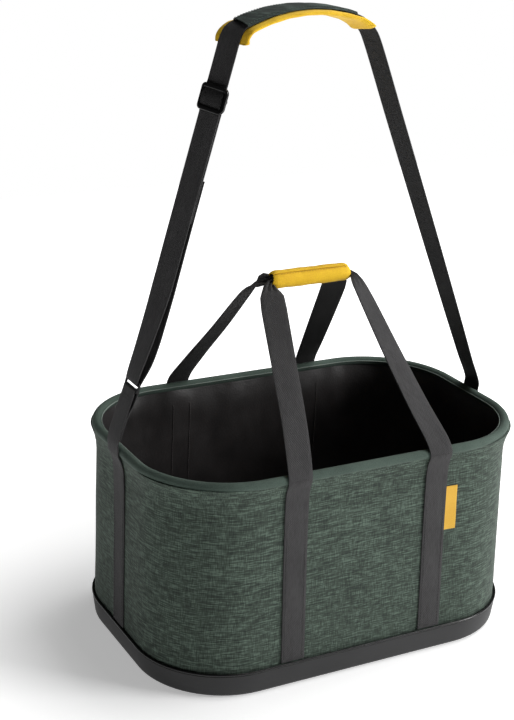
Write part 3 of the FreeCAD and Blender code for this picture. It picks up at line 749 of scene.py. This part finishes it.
# webbing of the left end: up the wall, round the ring's lower bar and stitched back on itself
def makeAnchor():
    stops = [((-reach, 0, height), yAxis, strapWidth) for reach, height in wallRoute("Length")]
    wrap = loop["wrap"]
    rising = [(-265.8, 0, 286), (-262.2, 0, 300), (-254.8, 0, 322),
              lowerBar - ringLeg * 14 + ringOut * (wrap + 0.6), lowerBar - ringLeg * 4 + ringOut * wrap]
    stops += [(point, yAxis, strapWidth) for point in rising]
    stops += loopStops(lowerBar, 0, 180)
    falling = [lowerBar - ringLeg * 5 - ringOut * (wrap - 0.4), lowerBar - ringLeg * 14 - ringOut * 1.6,
               (-252.6, 0, 322), (-259.8, 0, 301), (-262.8, 0, 291)]
    stops += [(point, yAxis, strapWidth) for point in falling]
    strap = layWebbing("anchor_webbing", stops, webbing)
    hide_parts("end_strap_left", "anchor_loop")
    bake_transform(strap)


makeMainStrap()
makeAnchor()

# mm, and degrees along the arch for its ends
pad = {"coverWidth": 38, "coverThickness": 1.2, "crown": 3.4, "backingWidth": 50, "thickness": 7.2,
       "leftEnd": -92, "rightEnd": 50, "leftRoll": 3.2, "rightRoll": 2.6}


# grid whose corners are placed by a function of two shares, 0 to 1
def coverGrid(name, material, rows, columns, place):
    clearSelection()
    bpy.ops.mesh.primitive_grid_add(x_subdivisions=rows, y_subdivisions=columns, size=1)
    obj = newPiece(name, material)
    for point in obj.data.vertices:
        point.co = place(point.co.x + 0.5, point.co.y + 0.5) * mm
    return obj


# strip sewn down over the webbing, a little proud along its middle
def makePadCover():
    left, right = arch["ends"][1] - 2, arch["ends"][2] + 3

    def place(u, v):
        side = 2 * v - 1
        crown = pad["crown"] * (1 - side ** 2) ** 0.5 - 0.8 * abs(side) ** 8
        ripple = 0.2 * math.sin(u * 34 + v * 5) + 0.12 * math.sin(u * 71)
        width = pad["coverWidth"] / 2 * (1 - 0.02 * math.sin(u * 21) ** 2)
        angle = left + (right - left) * u
        return archPoint(angle, 1.0 + crown + ripple) + archAcross(angle) * (side * width)
    obj = coverGrid("pad_top", padCloth, 48, 12, place)
    applyModifier(obj, "SOLIDIFY", thickness=pad["coverThickness"] * mm, offset=-1)
    faceOutwards(obj)
    applyModifier(obj, "SUBSURF", levels=1, render_levels=1)
    smooth(obj, 60)
    finish(obj, "shoulder_strap", "pad_top", "pad_cover")


# brushed yellow underside: thick, with round edges, its rolled ends hugging the webbing
def makePadBacking():
    # share of the pad's length and its angle there, so that the tight left bend gets rows of its own
    turns = [(0, pad["leftEnd"]), (0.2, arch["ends"][1]), (0.84, arch["ends"][2]), (1, pad["rightEnd"])]

    def angleAt(u):
        for (start, low), (end, high) in zip(turns, turns[1:]):
            if u <= end:
                return low + (high - low) * (u - start) / (end - start)
        return turns[-1][1]

    def place(u, v):
        angle = angleAt(u)
        leftShare, rightShare = max(0.0, 1 - u / 0.2), max(0.0, (u - 0.8) / 0.2)
        tip = max(0.0, 1 - min(u, 1 - u) / 0.035)
        narrowed = (1 - 0.16 * tip ** 2 + 0.015 * math.sin(u * 40)) * (1 - 0.06 * rightShare)
        half = pad["backingWidth"] / 2 * narrowed
        thick = pad["thickness"] * (1 + 0.25 * leftShare - 0.3 * rightShare) * (1 - 0.7 * tip ** 3)
        turned = v * 2 * math.pi
        wide = math.copysign(abs(math.cos(turned)) ** 0.5, math.cos(turned))
        high = math.copysign(abs(math.sin(turned)) ** 0.75, math.sin(turned))
        # beyond the webbing's edges the ends roll outwards past it
        beyond = max(0.0, abs(wide) - 0.72) / 0.28
        roll = beyond ** 1.5 * (pad["leftRoll"] * leftShare + pad["rightRoll"] * rightShare)
        depth = 1.1 + thick / 2 - high * thick / 2 - roll + 0.15 * math.sin(u * 57 + v * 9)
        return archPoint(angle, -depth) + archAcross(angle) * (wide * half)
    obj = coverGrid("pad_underside", yellowCloth, 72, 28, place)
    activate(obj)
    bpy.ops.object.mode_set(mode="EDIT")
    bpy.ops.mesh.select_all(action="SELECT")
    bpy.ops.mesh.remove_doubles(threshold=0.02 * mm)
    bpy.ops.mesh.select_all(action="DESELECT")
    bpy.ops.mesh.select_non_manifold()
    bpy.ops.mesh.edge_face_add()
    bpy.ops.mesh.select_all(action="SELECT")
    bpy.ops.mesh.normals_make_consistent(inside=False)
    bpy.ops.object.mode_set(mode="OBJECT")
    faceOutwards(obj)
    applyModifier(obj, "SUBSURF", levels=1, render_levels=1)
    smooth(obj, 60)
    finish(obj, "shoulder_strap", "yellow_cover", "pad_backing", "pad_foam")


makePadCover()
makePadBacking()

# mm; place is the centre's distance up the left leg
slider = {"place": 350, "length": 32, "width": 42, "rail": 5.2, "height": 4.0, "corner": 7, "edge": 1.1,
          "bow": 2.4, "railFrom": 16, "middleBar": 2.2, "barEdge": 0.6, "barFlat": 0.55}
sliderAcross = turnedAcross(arch["leftTurn"])
sliderAcross = (sliderAcross - legAxis * sliderAcross.dot(legAxis)).normalized()
sliderOut = legAxis.cross(sliderAcross)


def sliderPlace(along, across, out):
    return legPoint(slider["place"] + along, 0) + sliderAcross * across + sliderOut * out


# tri-glide: a bowed frame with a bar at each end above the webbing and one in the middle below it
def makeSliderFrame():
    clearSelection()
    bpy.ops.mesh.primitive_cube_add(size=1, scale=(slider["length"], slider["width"], slider["height"]))
    obj = newPiece("slider_buckle", buckleAcetal)
    settle(obj)
    bpy.ops.object.mode_set(mode="EDIT")
    pickEdges(obj, lambda a, b: abs(a.z - b.z) > 1)
    bpy.ops.mesh.bevel(offset=slider["corner"], segments=6, profile=0.5, affect="EDGES")
    pickFaces(obj, lambda centre, normal: abs(normal.z) > 0.9)
    bpy.ops.mesh.inset(thickness=slider["rail"], depth=0)
    bpy.ops.mesh.bridge_edge_loops()
    bpy.ops.object.mode_set(mode="OBJECT")
    applyModifier(obj, "BEVEL", width=slider["edge"], segments=3, limit_method="ANGLE",
                  angle_limit=math.radians(40))
    # the side rails bow down to the middle bar
    for point in obj.data.vertices:
        along, across, out = point.co
        bow = slider["bow"] * (1 - (2 * along / slider["length"]) ** 2) * (abs(across) > slider["railFrom"])
        point.co = sliderPlace(along, across, out + slider["bow"] - bow) * mm
    faceOutwards(obj)
    smooth(obj, 40)
    finish(obj, "slider", "buckle", "slider_frame")
    clearSelection()
    bpy.ops.mesh.primitive_cylinder_add(
        vertices=16, radius=slider["middleBar"], depth=slider["width"] - 3, rotation=(math.pi / 2, 0, 0))
    bar = newPiece("slider_middle_bar", buckleAcetal)
    settle(bar)
    bpy.ops.object.mode_set(mode="EDIT")
    pickEdges(bar, lambda a, b: abs(a.y - b.y) < 0.1 and abs(abs(a.y) - slider["width"] / 2 + 1.5) < 0.2)
    bpy.ops.mesh.bevel(offset=slider["barEdge"], segments=2, affect="EDGES")
    bpy.ops.object.mode_set(mode="OBJECT")
    for point in bar.data.vertices:
        out = point.co.z * slider["barFlat"] - slider["middleBar"]
        point.co = sliderPlace(point.co.x, point.co.y, out) * mm
    faceOutwards(bar)
    smooth(bar, 40)
    finish(bar, "slider", "buckle")


# the webbing's bulge over the middle bar, and its end, sewn round that bar
def makeSliderWebbing():
    # the bulge takes the darker copy of the webbing: painted shade
    bulge = [(sliderPlace(a, 0, out), sliderAcross, 31.4) for a, out in
             ((-18, 1.0), (-12, 1.3), (-8, 3.0), (-3, 4.4), (3, 4.4), (8, 3.0), (12, 1.3), (18, 1.0))]
    finish(layWebbing("slider_bulge", bulge, webbingPaintedShade, 1.1 * mm), "slider", "webbing")
    stops = [(legPoint(slider["place"] - d, depth), sliderAcross, 31.6)
             for d, depth in ((147, 2.0), (100, 2.0), (50, 2.0), (8, 2.0), (3, 2.1))]
    finish(layWebbing("sewn_end", stops, webbing, 1.4 * mm), "slider", "webbing", "strap_sewn_end")


makeSliderFrame()
makeSliderWebbing()
print("shoulder strap ready")

labelLow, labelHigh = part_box("label_tab")


# folded satin tab, a little proud at its free edge
def makeLabel():
    slope = (wallHalf("Width", labelLow.z) - wallHalf("Width", labelHigh.z)) / (labelHigh.z - labelLow.z)

    def place(u, v):
        z = labelLow.z + (labelHigh.z - labelLow.z) * v
        reach = wallHalf("Width", labelLow.z) - slope * (z - labelLow.z) + 0.7 * mm
        lift = 1.1 * mm * u ** 2 + 0.2 * mm * math.sin(v * 7) * u
        x = labelLow.x - 2 * mm + (labelHigh.x - labelLow.x + 2 * mm) * u  # 2 mm lie under the strap
        return Vector((x, -reach - lift, z)) / mm
    obj = coverGrid("label_tab_cloth", labelCloth, 8, 16, place)
    applyModifier(obj, "SOLIDIFY", thickness=0.7 * mm, offset=0)
    faceOutwards(obj)
    applyModifier(obj, "BEVEL", width=0.2 * mm, segments=2, limit_method="ANGLE")
    smooth(obj, 50)
    finish(obj, "basket", "label", "label_tab")


makeLabel()


# stitches along polylines in mm: one stitch is modelled, then copied along every row
def sewRows(name, material, rows, body, slotName, pitch=4.2, length=2.9, radius=0.42):
    clearSelection()
    bpy.ops.mesh.primitive_uv_sphere_add(segments=6, ring_count=5, radius=1)
    stitch = newPiece(name + "_one", material)
    one = stitch.data.copy()
    bpy.data.objects.remove(stitch)
    cage = bmesh.new()
    for row in rows:
        points = [Vector(point) for point in row]
        for start, end in zip(points, points[1:]):
            reach = (end - start).length
            count = max(1, round(reach / pitch))
            turned = (end - start).to_track_quat("X", "Z").to_matrix().to_4x4()
            size = Matrix.Diagonal((length / 2, radius, radius, 1))
            for index in range(count):
                middle = start.lerp(end, (index + 0.5) / count)
                before = len(cage.verts)
                cage.from_mesh(one)
                cage.verts.ensure_lookup_table()
                place = Matrix.Scale(mm, 4) @ Matrix.Translation(middle) @ turned @ size
                for point in cage.verts[before:]:
                    point.co = place @ point.co
    mesh = bpy.data.meshes.new(name)
    cage.to_mesh(mesh)
    cage.free()
    mesh.materials.append(material)
    obj = bpy.data.objects.new(name, mesh)
    bpy.context.scene.collection.objects.link(obj)
    smooth(obj, 80)
    return finish(obj, body, slotName)


# mm: rows beside a strap's middle line, their heights, and how far they stand off
sewing = {"edges": (-12.6, 12.6), "foot": 38, "boxFoot": 218, "boxTop": 244, "rim": 275,
          "offWall": 1.9, "offBox": 2.0, "offRim": 2.3, "sink": 0.6}


def wallStitches():
    left, right = sewing["edges"]
    low, high = sewing["boxFoot"], sewing["boxTop"]
    rows = []
    for out in (-1, 1):
        for side in (-1, 1):
            middle = side * handles["place"]
            for edge in sewing["edges"]:
                rows.append([(middle + edge, out * (wallHalf("Width", z * mm) / mm + sewing["offWall"]), z)
                             for z in (sewing["foot"], high)])
            # a sewn box with a cross in it holds the strap under the rim
            for first, last in ((low, low), (high, high), (low, high), (high, low)):
                rows.append([(middle + edge, out * (wallHalf("Width", z * mm) / mm + sewing["offBox"]), z)
                             for edge, z in ((left, first), (right, last))])
            reach = out * (rim["width"] / 2 / mm + sewing["offRim"])
            rows.append([(middle + edge, reach, sewing["rim"]) for edge in sewing["edges"]])
    for side in (-1, 1):
        for edge in sewing["edges"]:
            rows.append([(side * (wallHalf("Length", z * mm) / mm + sewing["offWall"]), edge, z)
                         for z in (sewing["foot"], high)])
        reach = side * (wallHalf("Length", high * mm) / mm + sewing["offBox"])
        rows.append([(reach, edge, high) for edge in sewing["edges"]])
    sewRows("webbing_stitches", darkThread, rows, "basket", "webbing")
    seams = []
    for out in (-1, 1):
        for side in (-1, 1):
            for edge in sewing["edges"]:
                row = []
                for z in range(44, 264, 11):
                    start = Vector((side * handles["place"] + edge, 0, z)) * mm
                    hit, place, _, _ = inner.ray_cast(start, Vector((0, out, 0)))
                    if hit:
                        row.append(place / mm - Vector((0, sewing["sink"] * out, 0)))
                seams.append(row)
    sewRows("lining_seams", seamThread, seams, "basket", "lining", 4.4, 3.2, 0.5)


# rounded rectangle as a closed polyline
def outlineRow(length, width, corner, z, steps=10):
    row = []
    for quarter, (sx, sy) in enumerate(((1, 1), (-1, 1), (-1, -1), (1, -1))):
        for index in range(steps + 1):
            angle = math.pi / 2 * (quarter + index / steps)
            row.append((sx * (length / 2 - corner) + corner * math.cos(angle),
                        sy * (width / 2 - corner) + corner * math.sin(angle), z))
    return row + row[:1]


wallStitches()
fineStitch = {"pitch": 4.0, "length": 2.8, "radius": 0.35}
padRows = [[archPoint(angle, 2.7) + archAcross(angle) * edge for angle in range(-24, 21, 4)]
           for edge in (-16, 16)]
sewRows("pad_stitches", greenThread, padRows, "shoulder_strap", "pad_top", **fineStitch)
# the wrap's front half is stitched along its lap
lap, lapRadius = math.radians(134), 12.3
lapRow = [(x, lapRadius * math.cos(lap), grip["height"] + lapRadius * math.sin(lap)) for x in (-50, 50)]
sewRows("grip_stitches", yellowThread, [lapRow], "front_handle", "yellow_cover", **fineStitch)
anchorRows = [[lowerBar - ringLeg * down + ringOut * 3.9 + yDirection * edge for edge in (-13, 13)]
              for down in (9, 13)]
sewRows("anchor_stitches", darkThread, anchorRows, "shoulder_strap", "webbing")
seamHigh, seamOut, seamCorner = 268, 9.4, 112
rimRow = outlineRow(2 * wallHalf("Length", seamHigh * mm) / mm + seamOut,
                    2 * wallHalf("Width", seamHigh * mm) / mm + seamOut, seamCorner, seamHigh)
sewRows("rim_stitches", greenThread, [rimRow], "basket", "rim_binding", 4.5, 3.2, 0.45)

# pieces taken over from the CAD
for name, material in (("base_piping", pipingVinyl), ("anchor_ring", ringSteel),
                       ("floor_lining", liningCloth), ("base_board", foamSheet)):
    frame["nodes"][name].data.materials.clear()
    frame["nodes"][name].data.materials.append(material)
for name in ("base_piping", "anchor_ring"):
    smooth(frame["nodes"][name], 60)

# place, size in m, power in W
lamps = {"key": ((2.8, -2.15, 1.5), 1.3, 104), "top": ((1.3, 0.0, 2.7), 2.0, 60)}


def addStage():
    clearSelection()
    bpy.ops.mesh.primitive_plane_add(size=4.6, location=(0, 0, -0.0005))
    material, tree, shader = newMaterial("floorPaperMatt", Roughness=0.9)
    shader.inputs["Base Color"].default_value = rgb("#FBFBFB")
    shader.inputs["Emission Color"].default_value = rgb("#FFFFFF")
    # the paper glows, painted light: dimmer near the basket, evenly white away from it
    place = addNode(tree, "TexCoord").outputs["Object"]
    away = addNode(tree, "VectorMath", {"operation": "LENGTH"}, n0=place).outputs["Value"]
    limits = {"From Min": 0.3, "From Max": 0.8, "To Min": 0.38, "To Max": 0.95}
    glow = addNode(tree, "MapRange", limits, Value=away)
    tree.links.new(glow.outputs[0], shader.inputs["Emission Strength"])
    newPiece("floor", material)
    # the camera sees a white backdrop, the object a dimmer room
    world = bpy.data.worlds.new("studio")
    world.use_nodes = True
    tree = world.node_tree
    seen = addNode(tree, "LightPath").outputs["Is Camera Ray"]
    strength = addNode(tree, "MapRange", {"To Min": 0.05, "To Max": 1.0}, Value=seen).outputs[0]
    tree.links.new(strength, tree.nodes["Background"].inputs["Strength"])
    tree.nodes["Background"].inputs["Color"].default_value = (1, 1, 1, 1)
    bpy.context.scene.world = world
    for name, (place, size, power) in lamps.items():
        lamp = bpy.data.lights.new(name, "AREA")
        lamp.size, lamp.energy = size, power
        obj = bpy.data.objects.new(name, lamp)
        bpy.context.scene.collection.objects.link(obj)
        aim = (Vector((0, 0, 0.25)) - Vector(place)).to_track_quat("-Z", "Y").to_matrix().to_4x4()
        obj.matrix_world = Matrix.Translation(place) @ aim
    bpy.context.scene.view_settings.view_transform = "Standard"


addStage()
clearSelection()
print("stage ready")
